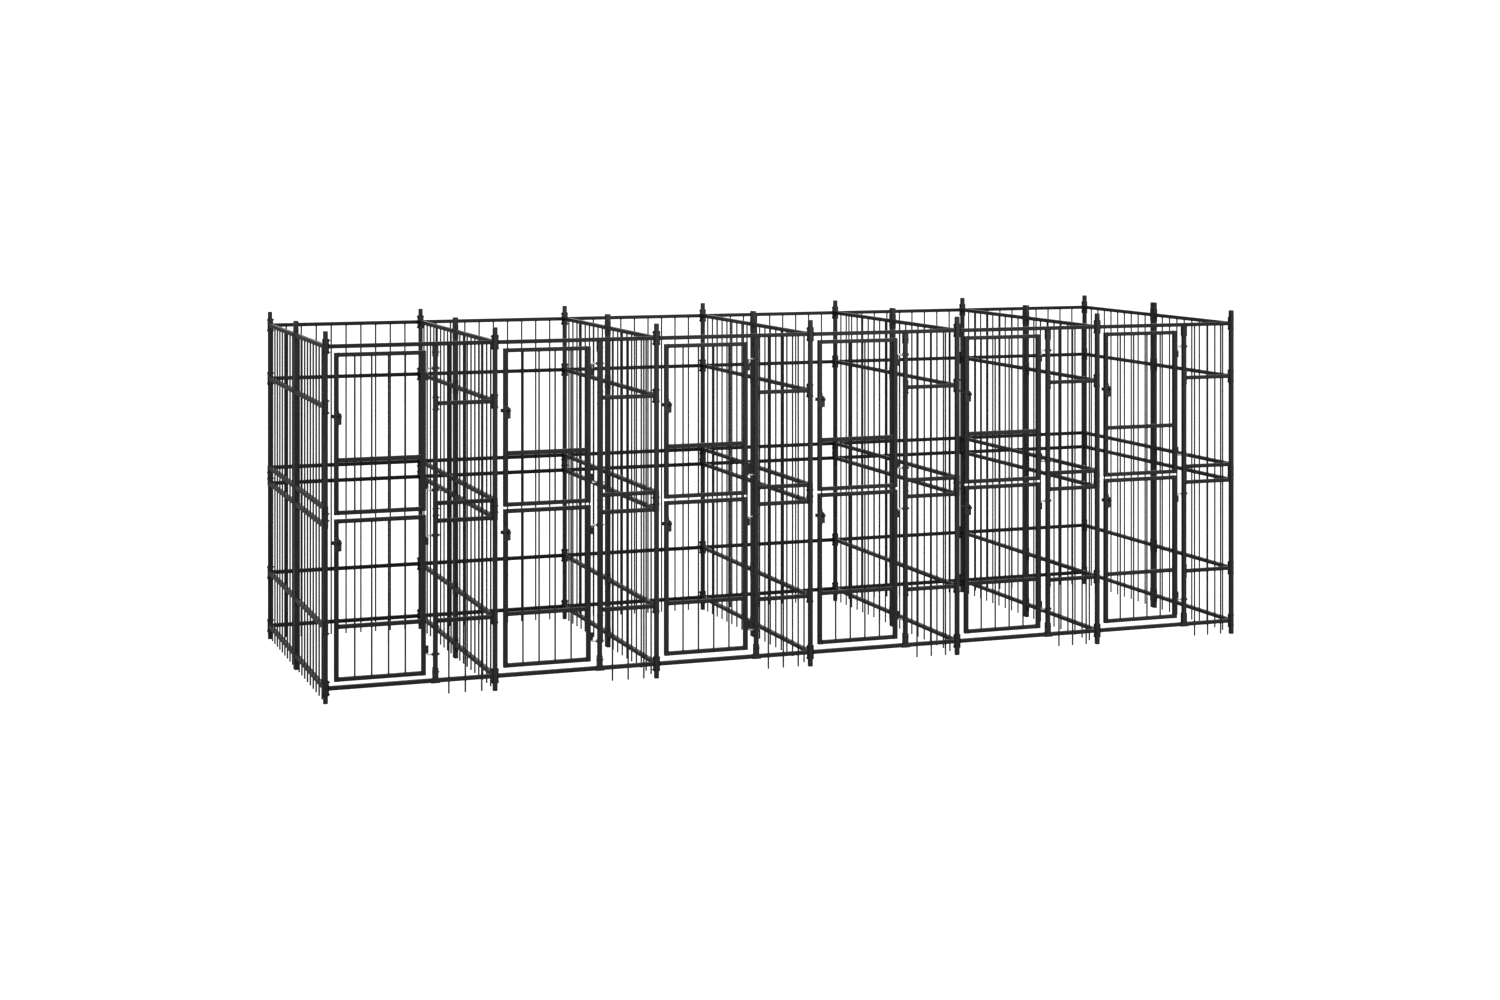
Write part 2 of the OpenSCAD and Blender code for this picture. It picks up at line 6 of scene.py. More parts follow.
import bpy
import numpy as np
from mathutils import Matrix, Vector


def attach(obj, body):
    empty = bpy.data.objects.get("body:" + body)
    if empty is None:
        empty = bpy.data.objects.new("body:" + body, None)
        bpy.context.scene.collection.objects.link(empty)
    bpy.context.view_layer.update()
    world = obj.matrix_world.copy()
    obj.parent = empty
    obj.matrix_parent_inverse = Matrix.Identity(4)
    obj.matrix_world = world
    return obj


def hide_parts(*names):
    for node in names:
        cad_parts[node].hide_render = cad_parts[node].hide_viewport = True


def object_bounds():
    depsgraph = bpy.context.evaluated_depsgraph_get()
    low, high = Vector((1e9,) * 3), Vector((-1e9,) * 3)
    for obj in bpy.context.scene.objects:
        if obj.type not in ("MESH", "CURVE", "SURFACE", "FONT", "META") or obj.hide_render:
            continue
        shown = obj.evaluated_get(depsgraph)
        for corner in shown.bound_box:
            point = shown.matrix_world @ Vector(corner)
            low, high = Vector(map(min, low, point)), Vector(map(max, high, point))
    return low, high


MM = 0.001

# ---- Driving dimensions, in millimetres ----
CELLS = 6
CELL_W = 960
BAY_D = 960
POST_H = 2054
POST = 24
MIDDLE_POST = 50
RAIL = 23
WALL = 1.5
PLATE = 3
BAR_R = 5
BAR_PITCH = 94.6
SIDE_BAR_PITCH = 93.4
# Bars of a panel, a grille and a leaf, in pitches from its middle
PANEL_BARS = range(-4, 5)
GRILLE_BARS = (-1, 0, 1)
LEAF_BARS = (-1.5, -0.5, 0.5, 1.5)
# Rails, from the top one down, as distances from half height
MID_Z = POST_H / 2
RAIL_HEIGHTS = [MID_Z + offset for offset in (942.5, 608.5, 49.5, -49.5, -608.5, -942.5)]
# The door of a cell, from the cell's left post, and its leaves, from the middle of their lowest rail
LATCH_STILE_X = 60
HINGE_STILE_X = 549
DOOR_POST_X = 616.5
GRILLE_GAP = 1
LEAF_H = 873
LEAF_RAILS = (0, LEAF_H / 3, LEAF_H)
LEAF_BASES = {"upper": [1048.8] * CELLS, "lower": [129.5] + [138.5] * (CELLS - 1)}
LATCH_UP = {"upper": 533.5, "lower": 755}
# Hinges
HINGE_X = HINGE_STILE_X + POST / 2 + 9
HINGE_UPS = (133, 737)
TOP_HINGE_RISE = 16
HINGE_R = 5
PIN_DEPTH = 16
BARREL_H = 40
BARREL_R = 8
BEND_R = 8
BEND_START = BARREL_H / 2 + 3
HINGE_NUT_H = 8
HINGE_NUT_ACROSS = 16
HINGE_BEYOND_NUT = 7
HINGE_TAIL = DOOR_POST_X + POST / 2 + HINGE_NUT_H + HINGE_BEYOND_NUT - HINGE_X
WASHER_BORE_R = 5.3
WASHER_R = 8.5
WASHER_H = 2.5
WASHER_GAP = 0.2
# Latches, with screw heights from the latch bolt
LATCH_FRONT = -POST / 2 - 8
LATCH_SCREW_UPS = (28, -42)
KNOB_X = 18
KNOB_R = 9
KNOB_FLUTE = 0.7
KNOB_BACK = LATCH_FRONT - 4
# Clamp bolts. The nut hides the first part of a bolt's tail.
BOLT_R = 3
HEX_ACROSS = 10
BOLT_HEAD_H = 4
BOLT_TAIL = 9
BOLT_TAIL_HIDDEN = 4.6
HEX_FACE_SHARE = 0.47
HEX_CHAMFER = math.radians(30)
NUT_GAP = 0.05
FASTENER_TURN = 0.4
# Post caps and feet
CAP_H = 3
FOOT_H = 4
PLUG_CLEARANCE = 0.3
PLUG_SHANK_H = 12
PLUG_LEAD_IN = 3
PLUG_TAPER = 1.2

# Rounding of the edges of the CAD parts. Edges at least as long as TUBE_EDGE_MIN are a tube's.
TUBE_ROUND = 2.0 * MM
PLATE_ROUND = 0.5 * MM
TUBE_EDGE_MIN = 150 * MM
PLATE_EDGE_MIN = 30 * MM
CORNER_ANGLE = math.radians(70)
SMOOTH_ANGLE = math.radians(38)
JOIN_DISTANCE = 0.004 * MM

# Camera
LENS = 56.42
SENSOR = 36.0
CAMERA_PLACE = (-2.3485, -12.93, 2.9295)
CAMERA_YAW = 0.3495
SHIFT_X = 0.0143
SHIFT_Y = -0.2185

# Studio
FLOOR_HALF = 150.0
FLOOR_GREY = 0.35
FLOOR_GLOW = 0.92
SKY_WHITE = 1.05
# Glows of the sky, above, at the front and at the back: the direction, the dot products with it where the
# glow starts and is full, and its strengths there
SKY_GLOWS = [((0.15, 0.25, 1), 0.0, 0.9, 0.06, 0.9),
             ((0.45, -0.9, 0.1), 0.2, 0.95, 0.0, 0.55),
             ((0.6, 0.8, 0.18), 0.72, 0.98, 0.0, 0.8)]
# Area lamps, all aimed at the middle of the row: place, size and power
LAMPS = {"key": ((6.0, -8.0, 4.5), (5.0, 4.0), 500), "top": ((2.9, 1.0, 6.5), (8.0, 4.0), 150)}

RANDOM = np.random.default_rng(6)

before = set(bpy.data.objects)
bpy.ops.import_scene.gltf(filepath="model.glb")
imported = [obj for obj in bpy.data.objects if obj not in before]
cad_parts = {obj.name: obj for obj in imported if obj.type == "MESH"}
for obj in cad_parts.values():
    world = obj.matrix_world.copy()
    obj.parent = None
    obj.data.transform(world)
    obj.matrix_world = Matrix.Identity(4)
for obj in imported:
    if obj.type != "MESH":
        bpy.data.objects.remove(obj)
cad_low, cad_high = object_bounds()


# ---- Materials ----
class Shader:
    """A material's node tree, with short calls to add and join nodes."""

    def __init__(self, name):
        self.material = bpy.data.materials.new(name)
        self.material.use_nodes = True
        self.tree = self.material.node_tree
        self.surface = self.tree.nodes["Principled BSDF"]
        self.place = self.add("ShaderNodeTexCoord").outputs["Object"]

    def add(self, kind, **values):
        node = self.tree.nodes.new(kind)
        for key, value in values.items():
            setattr(node, key, value)
        return node

    def put(self, socket, value):
        """Joins an output to a socket, or sets the socket's value."""
        if isinstance(value, bpy.types.NodeSocket):
            self.tree.links.new(value, socket)
        else:
            socket.default_value = value

    def math(self, operation, a, b=0.0, clamp=False):
        node = self.add("ShaderNodeMath", operation=operation, use_clamp=clamp)
        self.put(node.inputs[0], a)
        self.put(node.inputs[1], b)
        return node.outputs[0]

    def noise(self, per_metre, detail=3.0, roughness=0.55):
        node = self.add("ShaderNodeTexNoise")
        self.put(node.inputs["Vector"], self.place)
        self.put(node.inputs["Scale"], per_metre)
        self.put(node.inputs["Detail"], detail)
        self.put(node.inputs["Roughness"], roughness)
        return node.outputs["Fac"]

    def cells(self, per_metre):
        node = self.add("ShaderNodeTexVoronoi")
        self.put(node.inputs["Vector"], self.place)
        self.put(node.inputs["Scale"], per_metre)
        return node.outputs["Color"]

    def remap(self, value, low, high, new_low, new_high):
        node = self.add("ShaderNodeMapRange")
        self.put(node.inputs["Value"], value)
        self.put(node.inputs["From Min"], low)
        self.put(node.inputs["From Max"], high)
        self.put(node.inputs["To Min"], new_low)
        self.put(node.inputs["To Max"], new_high)
        return node.outputs["Result"]

    def mix(self, share, a, b):
        node = self.add("ShaderNodeMix", data_type="RGBA")
        self.put(node.inputs["Factor"], share)
        self.put(node.inputs[6], a)
        self.put(node.inputs[7], b)
        return node.outputs[2]

    def edges(self, radius, low=0.02, high=0.25):
        """1 on edges sharper than low to high, and 0 on flat faces, broken up by noise."""
        rounded = self.add("ShaderNodeBevel", samples=4)
        self.put(rounded.inputs["Radius"], radius)
        flat = self.add("ShaderNodeNewGeometry").outputs["Normal"]
        dot = self.add("ShaderNodeVectorMath", operation="DOT_PRODUCT")
        self.put(dot.inputs[0], rounded.outputs["Normal"])
        self.put(dot.inputs[1], flat)
        bend = self.math("SUBTRACT", 1.0, dot.outputs["Value"])
        sharp = self.remap(bend, low, high, 0.0, 1.0)
        patches = self.remap(self.noise(per_metre=35, detail=4), 0.5, 0.68, 0.0, 1.0)
        return self.math("MULTIPLY", sharp, patches, clamp=True)

    def bump(self, layers):
        """Bump from (height, strength, distance) layers, one on top of another."""
        normal = None
        for height, strength, distance in layers:
            node = self.add("ShaderNodeBump")
            self.put(node.inputs["Height"], height)
            self.put(node.inputs["Strength"], strength)
            self.put(node.inputs["Distance"], distance)
            if normal is not None:
                self.put(node.inputs["Normal"], normal)
            normal = node.outputs["Normal"]
        self.put(self.surface.inputs["Normal"], normal)

    def finish(self, colour, roughness, metallic=0.0, specular=0.5):
        self.put(self.surface.inputs["Base Color"], colour)
        self.put(self.surface.inputs["Roughness"], roughness)
        self.put(self.surface.inputs["Metallic"], metallic)
        self.put(self.surface.inputs["Specular IOR Level"], specular)
        return self.material


def grey(level, tint=0.0):
    """A linear grey, a little blue where tint is above 0."""
    return (level * (1 - tint), level, level * (1 + tint), 1.0)


def powder_coat():
    """Satin black powder coat: orange peel, faint batch variation, dust and rubbed edges.
    An object's own painted-shade value makes its coat lighter above 0, or darker below it: painted shade on
    parts that sit in shade."""
    s = Shader("black_powder_coat")
    # Painted shade: the object's own value, plus 1, scales its whole coat colour
    painted_shade = s.math("ADD", s.add("ShaderNodeAttribute", attribute_type="OBJECT",
                               attribute_name="painted_shade").outputs["Fac"], 1.0)
    batch = s.remap(s.noise(per_metre=1.7, detail=2), 0.35, 0.65, 0.0, 1.0)
    colour = s.mix(batch, grey(0.016, 0.03), grey(0.026, 0.05))
    speckle = s.remap(s.noise(per_metre=900, detail=2), 0.62, 0.75, 0.0, 0.5)
    colour = s.mix(speckle, colour, grey(0.04))
    worn = s.edges(1.2 * MM)
    colour = s.mix(s.math("MULTIPLY", worn, 0.55), colour, grey(0.09))
    # Painted shade, multiplied into the coat's colour
    shade = s.add("ShaderNodeMix", data_type="RGBA", blend_type="MULTIPLY")
    s.put(shade.inputs["Factor"], 1.0)
    s.put(shade.inputs[6], colour)
    s.put(shade.inputs[7], painted_shade)
    peel = s.noise(per_metre=420, detail=2, roughness=0.45)
    roughness = s.remap(s.noise(per_metre=26, detail=4), 0.3, 0.7, 0.36, 0.50)
    roughness = s.math("ADD", roughness, s.math("MULTIPLY", worn, -0.08))
    grain = s.noise(per_metre=2600, detail=1)
    s.bump([(peel, 0.35, 0.12 * MM), (grain, 0.12, 0.03 * MM)])
    return s.finish(shade.outputs[2], roughness, metallic=0.0, specular=0.22)


def black_plastic():
    """Moulded black plastic with a fine spark-eroded grain."""
    s = Shader("black_plastic")
    cloud = s.remap(s.noise(per_metre=12, detail=3), 0.3, 0.7, 0.0, 1.0)
    colour = s.mix(cloud, grey(0.007), grey(0.0125, 0.03))
    worn = s.edges(0.8 * MM)
    colour = s.mix(s.math("MULTIPLY", worn, 0.6), colour, grey(0.035))
    roughness = s.remap(s.noise(per_metre=60, detail=3), 0.3, 0.7, 0.46, 0.60)
    s.bump([(s.noise(per_metre=1500, detail=3, roughness=0.7), 0.30, 0.06 * MM)])
    return s.finish(colour, roughness, metallic=0.0, specular=0.35)


def plated_steel(name, dark, bright, rough, metallic):
    """Plated steel: spangle, machining haze, and bare bright edges."""
    s = Shader(name)
    spangle = s.add("ShaderNodeSeparateColor")
    s.put(spangle.inputs["Color"], s.cells(per_metre=450))
    colour = s.mix(spangle.outputs["Red"], dark, bright)
    haze = s.remap(s.noise(per_metre=160, detail=4), 0.35, 0.75, 0.0, 0.35)
    colour = s.mix(haze, colour, dark)
    worn = s.edges(0.6 * MM)
    colour = s.mix(s.math("MULTIPLY", worn, 0.5), colour, grey(0.55))
    roughness = s.remap(s.noise(per_metre=240, detail=3), 0.3, 0.7, rough - 0.08, rough + 0.10)
    s.bump([(s.noise(per_metre=1100, detail=2), 0.18, 0.04 * MM)])
    return s.finish(colour, roughness, metallic)


# Each material slot's finish
MATERIALS = {
    "black_powder_coat": powder_coat(),
    "black_plastic": black_plastic(),
    "black_fasteners": plated_steel("black_fasteners", grey(0.012), grey(0.022), 0.42, 0.5),
    "zinc": plated_steel("zinc", grey(0.36), grey(0.62, 0.02), 0.34, 1.0),
    "dark_zinc": plated_steel("dark_zinc", grey(0.018), grey(0.034), 0.36, 0.6),
}


# Painted shade: how much lighter or darker an object's powder coat is painted than the material's own,
# darkest on parts that sit in shade, by the start of its name
PAINTED_SHADES = {"front_posts": -0.3, "middle_posts": -0.1, "door_posts": -0.3, "header_rails": -0.7,
         "sill_rails": -0.45, "rear_panels": -0.8, "rear_posts": -0.4, "front_grilles": -0.5,
         "upper_leaf": -0.45, "lower_leaf": -0.45, "cross_panel_welds": -0.6}
OTHER_PAINTED_SHADE = -0.2


def set_painted_shade(obj):
    # Gives the object its painted shade from the table above
    obj["painted_shade"] = next((painted_shade for start, painted_shade in PAINTED_SHADES.items() if obj.name.startswith(start)), OTHER_PAINTED_SHADE)


def paint_frame():
    """Gives every CAD node the finish of its own material slot."""
    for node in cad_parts.values():
        set_painted_shade(node)
        for slot in node.material_slots:
            finish = MATERIALS[slot.material.name.split(".")[0]]
            slot.link = "OBJECT"
            slot.material = finish


# ---- Rounded edges on the CAD parts ----
def geometry_group(name):
    group = bpy.data.node_groups.new(name, "GeometryNodeTree")
    group.interface.new_socket("Geometry", in_out="INPUT", socket_type="NodeSocketGeometry")
    group.interface.new_socket("Geometry", in_out="OUTPUT", socket_type="NodeSocketGeometry")
    return group, group.nodes.new("NodeGroupInput"), group.nodes.new("NodeGroupOutput")


def edge_marks():
    """Joins the corners, marks long outer edges for rounding, and sets which edges shade sharp."""
    group, start, end = geometry_group("edge_marks")
    nodes, links = group.nodes, group.links

    def compare(kind, value, limit):
        node = nodes.new("FunctionNodeCompare")
        node.operation = kind
        links.new(value, node.inputs[0])
        node.inputs[1].default_value = limit
        return node.outputs[0]

    def both(a, b):
        node = nodes.new("FunctionNodeBooleanMath")
        links.new(a, node.inputs[0])
        links.new(b, node.inputs[1])
        return node.outputs[0]

    weld = nodes.new("GeometryNodeMergeByDistance")
    weld.inputs["Distance"].default_value = JOIN_DISTANCE
    links.new(start.outputs[0], weld.inputs["Geometry"])
    angle = nodes.new("GeometryNodeInputMeshEdgeAngle")
    ends = nodes.new("GeometryNodeInputMeshEdgeVertices")
    span = nodes.new("ShaderNodeVectorMath")
    span.operation = "DISTANCE"
    links.new(ends.outputs["Position 1"], span.inputs[0])
    links.new(ends.outputs["Position 2"], span.inputs[1])
    corner = compare("GREATER_THAN", angle.outputs["Signed Angle"], CORNER_ANGLE)
    plate = both(corner, compare("GREATER_THAN", span.outputs["Value"], PLATE_EDGE_MIN))
    tube = compare("GREATER_THAN", span.outputs["Value"], TUBE_EDGE_MIN)
    size = nodes.new("GeometryNodeSwitch")
    size.input_type = "FLOAT"
    links.new(tube, size.inputs["Switch"])
    size.inputs["False"].default_value = PLATE_ROUND / TUBE_ROUND
    size.inputs["True"].default_value = 1.0
    weight = nodes.new("GeometryNodeSwitch")
    weight.input_type = "FLOAT"
    links.new(plate, weight.inputs["Switch"])
    links.new(size.outputs[0], weight.inputs["True"])
    mark = nodes.new("GeometryNodeStoreNamedAttribute")
    mark.data_type = "FLOAT"
    mark.domain = "EDGE"
    mark.inputs["Name"].default_value = "bevel_weight_edge"
    links.new(weld.outputs[0], mark.inputs["Geometry"])
    links.new(weight.outputs[0], mark.inputs["Value"])
    sharp = compare("GREATER_THAN", angle.outputs["Unsigned Angle"], SMOOTH_ANGLE)
    crease = nodes.new("GeometryNodeStoreNamedAttribute")
    crease.data_type = "BOOLEAN"
    crease.domain = "EDGE"
    crease.inputs["Name"].default_value = "sharp_edge"
    links.new(mark.outputs[0], crease.inputs["Geometry"])
    links.new(sharp, crease.inputs["Value"])
    drop = nodes.new("GeometryNodeRemoveAttribute")
    drop.inputs["Name"].default_value = "custom_normal"
    links.new(crease.outputs[0], drop.inputs["Geometry"])
    smooth = nodes.new("GeometryNodeSetShadeSmooth")
    links.new(drop.outputs[0], smooth.inputs["Geometry"])
    links.new(smooth.outputs[0], end.inputs[0])
    return group


def round_edges(node, group):
    marks = node.modifiers.new("edge_marks", "NODES")
    marks.node_group = group
    bevel = node.modifiers.new("rounding", "BEVEL")
    bevel.limit_method = "WEIGHT"
    bevel.offset_type = "OFFSET"
    bevel.width = TUBE_ROUND
    bevel.segments = 3
    bevel.use_clamp_overlap = False
    bevel.harden_normals = True


def round_frame():
    group = edge_marks()
    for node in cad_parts.values():
        round_edges(node, group)


# ---- Shapes built from rings of points, in millimetres ----
def stack(rings, caps=(False, False), closed=False):
    """Joins rings of points with quads. A closed stack's last ring is joined to its first."""
    rings = np.array(rings, float)
    rows, around = rings.shape[:2]
    index = np.arange(rows * around).reshape(rows, around)
    joined = np.vstack([index, index[:1]]) if closed else index
    low, high = joined[:-1], joined[1:]
    quads = np.stack([low, np.roll(low, -1, 1), np.roll(high, -1, 1), high], axis=2)
    faces = [tuple(quad) for quad in quads.reshape(-1, 4).tolist()]
    if caps[0]:
        faces.append(tuple(index[0][::-1].tolist()))
    if caps[1]:
        faces.append(tuple(index[-1].tolist()))
    return rings.reshape(-1, 3), faces


def ring(radius, z, around):
    """A ring about Z. The radius may be one number or one for each point."""
    angle = 2 * math.pi * np.arange(around) / around
    radius = np.broadcast_to(radius, around)
    return np.column_stack([radius * np.cos(angle), radius * np.sin(angle), np.broadcast_to(z, around)])


def hexagon(across, around):
    """Distance from the centre of a hexagon to its edge, for each point of a ring."""
    angle = 2 * math.pi * np.arange(around) / around
    return across / 2 / np.cos(angle % (math.pi / 3) - math.pi / 6)


def chamfered_hexagon(across, around):
    """A hexagon, the radius of the turned face on its end, and the height of the chamfer between them."""
    hexa = hexagon(across, around)
    face_r = HEX_FACE_SHARE * across
    return hexa, face_r, (hexa - face_r) * math.tan(HEX_CHAMFER)


def rounded_square(w, d, corner, z, steps=3, side_steps=1):
    """A ring along a rectangle with round corners, with side_steps points along each side."""
    points = []
    for k, (sx, sy) in enumerate([(1, 1), (-1, 1), (-1, -1), (1, -1)]):
        centre = np.array([sx * (w / 2 - corner), sy * (d / 2 - corner)])
        for t in np.linspace(0, math.pi / 2, steps):
            angle = k * math.pi / 2 + t
            points.append(centre + corner * np.array([math.cos(angle), math.sin(angle)]))
        after = [(-1, 1), (-1, -1), (1, -1), (1, 1)][k]
        angle = (k + 1) * math.pi / 2
        start = points[-1]
        end = np.array([after[0] * (w / 2 - corner), after[1] * (d / 2 - corner)])
        end = end + corner * np.array([math.cos(angle), math.sin(angle)])
        for t in range(1, side_steps):
            points.append(start + (end - start) * t / side_steps)
    points = np.array(points)
    return np.column_stack([points, np.broadcast_to(z, len(points))])


def helix(radius, depth, pitch, z, around):
    """The radius of a thread at height z, for each point of a ring."""
    turn = (z / pitch - np.arange(around) / around) % 1.0
    return radius - depth * np.abs(2 * turn - 1)


def along(axis, turn=0.0):
    """The rotation that takes +Z to axis, after a turn about Z."""
    z = np.array(axis, float)
    x = np.array([0.0, 0.0, 1.0]) if abs(z[2]) < 0.5 else np.array([1.0, 0.0, 0.0])
    c, s = math.cos(turn), math.sin(turn)
    return np.column_stack([x, np.cross(z, x), z]) @ np.array([[c, -s, 0], [s, c, 0], [0, 0, 1]])


HALF_TURN_X = np.diag([1.0, -1.0, -1.0])
FULL_TURN = 6.28


class Piece:
    """Gathers shapes into one object of the visual model."""

    def __init__(self, name, body, slot):
        self.name, self.body, self.slot = name, body, slot
        self.points, self.faces, self.count = [], [], 0

    def add(self, shape, place, rotation=None):
        points, faces = shape
        if rotation is not None:
            points = points @ rotation.T
        self.points.append(points + np.array(place, float))
        self.faces.extend([tuple(i + self.count for i in face) for face in faces])
        self.count += len(points)

    def build(self, smooth=38, replaces=()):
        """Makes the object, shaded sharp at angles over smooth degrees, in place of the CAD nodes named."""
        mesh = bpy.data.meshes.new(self.name)
        mesh.from_pydata(np.concatenate(self.points) * MM, [], self.faces)
        mesh.shade_smooth()
        mesh.set_sharp_from_angle(angle=math.radians(smooth))
        mesh.materials.append(MATERIALS[self.slot])
        obj = bpy.data.objects.new(self.name, mesh)
        bpy.context.scene.collection.objects.link(obj)
        set_painted_shade(obj)
        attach(obj, self.body)
        if replaces:
            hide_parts(*replaces)
        return obj


def islands(name):
    """The points of each separate solid of a CAD node, in millimetres. Points of one solid are found by
    passing the lowest label along its edges until nothing changes."""
    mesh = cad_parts[name].data
    points = np.empty(len(mesh.vertices) * 3, np.float32)
    mesh.vertices.foreach_get("co", points)
    points = points.reshape(-1, 3) / MM
    edges = np.empty(len(mesh.edges) * 2, np.int32)
    mesh.edges.foreach_get("vertices", edges)
    hundredths = np.round(points * 100).astype(np.int64)
    places, where = np.unique(hundredths, axis=0, return_inverse=True)
    where = where.ravel()
    ends = where[edges].reshape(-1, 2)
    label = np.arange(len(places))
    settled = False
    while not settled:
        low = np.minimum(label[ends[:, 0]], label[ends[:, 1]])
        new = label.copy()
        np.minimum.at(new, ends[:, 0], low)
        np.minimum.at(new, ends[:, 1], low)
        new = new[new]
        settled = np.array_equal(new, label)
        label = new
    of_point = label[where]
    return [points[of_point == k] for k in np.unique(of_point)]


# ---- Fasteners ----
def hex_bolt(length):
    """Hexagon bolt along +Z, with a chamfered head below the origin plane and a threaded tail."""
    around = 12
    pitch = 1.0
    thread_depth = 0.5
    seat_h = 0.4
    shank_end = length - BOLT_TAIL
    hexa, face_r, chamfer = chamfered_hexagon(HEX_ACROSS, around)
    rings = [ring(face_r, -BOLT_HEAD_H, around), ring(hexa, -BOLT_HEAD_H + chamfer, around),
             ring(hexa, -seat_h, around), ring(face_r, -seat_h, around), ring(face_r, 0, around),
             ring(BOLT_R, 0, around), ring(BOLT_R, shank_end, around)]
    for z in np.arange(shank_end + BOLT_TAIL_HIDDEN, length - 0.8, pitch / 3):
        rings.append(ring(helix(BOLT_R, thread_depth, pitch, z, around), z, around))
    rings += [ring(BOLT_R - 0.4, length - 0.7, around), ring(BOLT_R - 1.0, length, around)]
    return stack(rings, caps=(True, True))


def hex_nut(bore, across, height, around=12):
    """Hexagon nut on the origin plane, chamfered on both faces, with a countersunk bore."""
    sink_w = 0.4
    sink_h = 0.3
    hexa, face_r, chamfer = chamfered_hexagon(across, around)
    return stack([ring(bore, sink_h, around), ring(bore + sink_w, 0, around), ring(face_r, 0, around),
                  ring(hexa, chamfer, around), ring(hexa, height - chamfer, around),
                  ring(face_r, height, around), ring(bore + sink_w, height, around),
                  ring(bore, height - sink_h, around)], closed=True)


def clamp_fasteners():
    """Bolts and nuts in the places, and along the axes, of the CAD ones, each at a turn of its own."""
    bolts = Piece("clamp_bolt_set", "row", "black_fasteners")
    shapes = {}
    for points in islands("clamp_bolts"):
        low, high = points.min(0), points.max(0)
        axis = int(np.argmax(high - low))
        centre = (low + high) / 2
        spread = np.linalg.norm(np.delete(points - centre, axis, axis=1), axis=1)
        head = points[spread > 1.3 * BOLT_R][:, axis].mean()
        direction = np.zeros(3)
        direction[axis] = -1.0 if head > centre[axis] else 1.0
        length = round(float(high[axis] - low[axis]) - BOLT_HEAD_H, 2)
        place = centre.copy()
        place[axis] = head + direction[axis] * BOLT_HEAD_H / 2
        if length not in shapes:
            shapes[length] = hex_bolt(length)
        bolts.add(shapes[length], place, along(direction, RANDOM.uniform(-FASTENER_TURN, FASTENER_TURN)))
    bolts.build(replaces=["clamp_bolts"])
    nuts = Piece("clamp_nut_set", "row", "black_fasteners")
    for points in islands("clamp_nuts"):
        low, high = points.min(0), points.max(0)
        axis = int(np.argmin(high - low))
        direction = np.zeros(3)
        direction[axis] = 1.0
        place = (low + high) / 2
        height = float(high[axis] - low[axis])
        place[axis] = low[axis]
        nuts.add(hex_nut(BOLT_R + NUT_GAP, HEX_ACROSS, height), place,
                 along(direction, RANDOM.uniform(-FASTENER_TURN, FASTENER_TURN)))
    nuts.build(replaces=["clamp_nuts"])


# ---- Hinges ----
def hinge_bolt(rise):
    """J-shaped bolt: a pin along Z in the barrel, a bend, and a threaded leg along +X."""
    around = 16
    angle = 2 * math.pi * np.arange(around) / around
    bend_z = BEND_START + rise

    def section(centre, phi, radius):
        u = np.array([math.cos(phi), 0.0, -math.sin(phi)])
        v = np.array([0.0, 1.0, 0.0])
        radius = np.broadcast_to(radius, around)[:, None]
        return np.array(centre) + radius * (np.cos(angle)[:, None] * u + np.sin(angle)[:, None] * v)

    tip = 0.8
    rings = [section((0, 0, -PIN_DEPTH), 0, HINGE_R - tip), section((0, 0, -PIN_DEPTH + tip), 0, HINGE_R)]
    for phi in np.linspace(0, math.pi / 2, 9):
        centre = (BEND_R - BEND_R * math.cos(phi), 0, bend_z + BEND_R * math.sin(phi))
        rings.append(section(centre, phi, HINGE_R))
    pitch = 1.75
    thread_depth = 0.75
    bare = 6
    leg_z = bend_z + BEND_R
    for x in np.arange(BEND_R + bare, HINGE_TAIL - 1.2, pitch / 3):
        rings.append(section((x, 0, leg_z), math.pi / 2, helix(HINGE_R, thread_depth, pitch, x, around)))
    rings.append(section((HINGE_TAIL - 1, 0, leg_z), math.pi / 2, HINGE_R - 0.5))
    rings.append(section((HINGE_TAIL, 0, leg_z), math.pi / 2, HINGE_R - 1.4))
    return stack(rings, caps=(True, True))


def washer():
    """Thick washer on the origin plane, with its bore and rim rounded."""
    bore_round = 0.3
    rim_round = 0.4
    below = [(WASHER_BORE_R, bore_round), (WASHER_BORE_R + bore_round, 0),
             (WASHER_R - rim_round, 0), (WASHER_R, rim_round)]
    above = [(radius, WASHER_H - z) for radius, z in reversed(below)]
    return stack([ring(radius, z, 24) for radius, z in below + above], closed=True)


def hinges():
    """Two bolts on each leaf, each with a washer on the barrel and a nut on each side of the door post."""
    bolts = Piece("hinge_bolt_set", "row", "zinc")
    washers = Piece("hinge_washer_set", "row", "zinc")
    nuts = Piece("hinge_nut_set", "row", "black_fasteners")
    bolt_shapes = {rise: hinge_bolt(rise) for rise in (0, TOP_HINGE_RISE)}
    nut_shape = hex_nut(HINGE_R + NUT_GAP, HINGE_NUT_ACROSS, HINGE_NUT_H, 24)
    washer_shape = washer()
    for level, bases in LEAF_BASES.items():
        for cell, base in enumerate(bases):
            for up, side in zip(HINGE_UPS, (-1, 1)):
                rise = TOP_HINGE_RISE if level == "upper" and side > 0 else 0
                axis_x = cell * CELL_W + HINGE_X
                way = np.eye(3) if side > 0 else HALF_TURN_X
                bolts.add(bolt_shapes[rise], (axis_x, 0, base + up), way)
                washer_z = base + up + side * (BARREL_H / 2 + WASHER_GAP)
                washers.add(washer_shape, (axis_x, 0, washer_z), way)
                leg_z = base + up + side * (BEND_START + rise + BEND_R)
                post_x = cell * CELL_W + DOOR_POST_X
                for x in (post_x - POST / 2 - HINGE_NUT_H, post_x + POST / 2):
                    turned = along((1, 0, 0), RANDOM.uniform(-0.5, 0.5))
                    nuts.add(nut_shape, (x, 0, leg_z), turned)
    bolts.build(replaces=["hinge_bolts"])
    washers.build(replaces=["hinge_washers"])
    nuts.build(replaces=["hinge_nuts"])


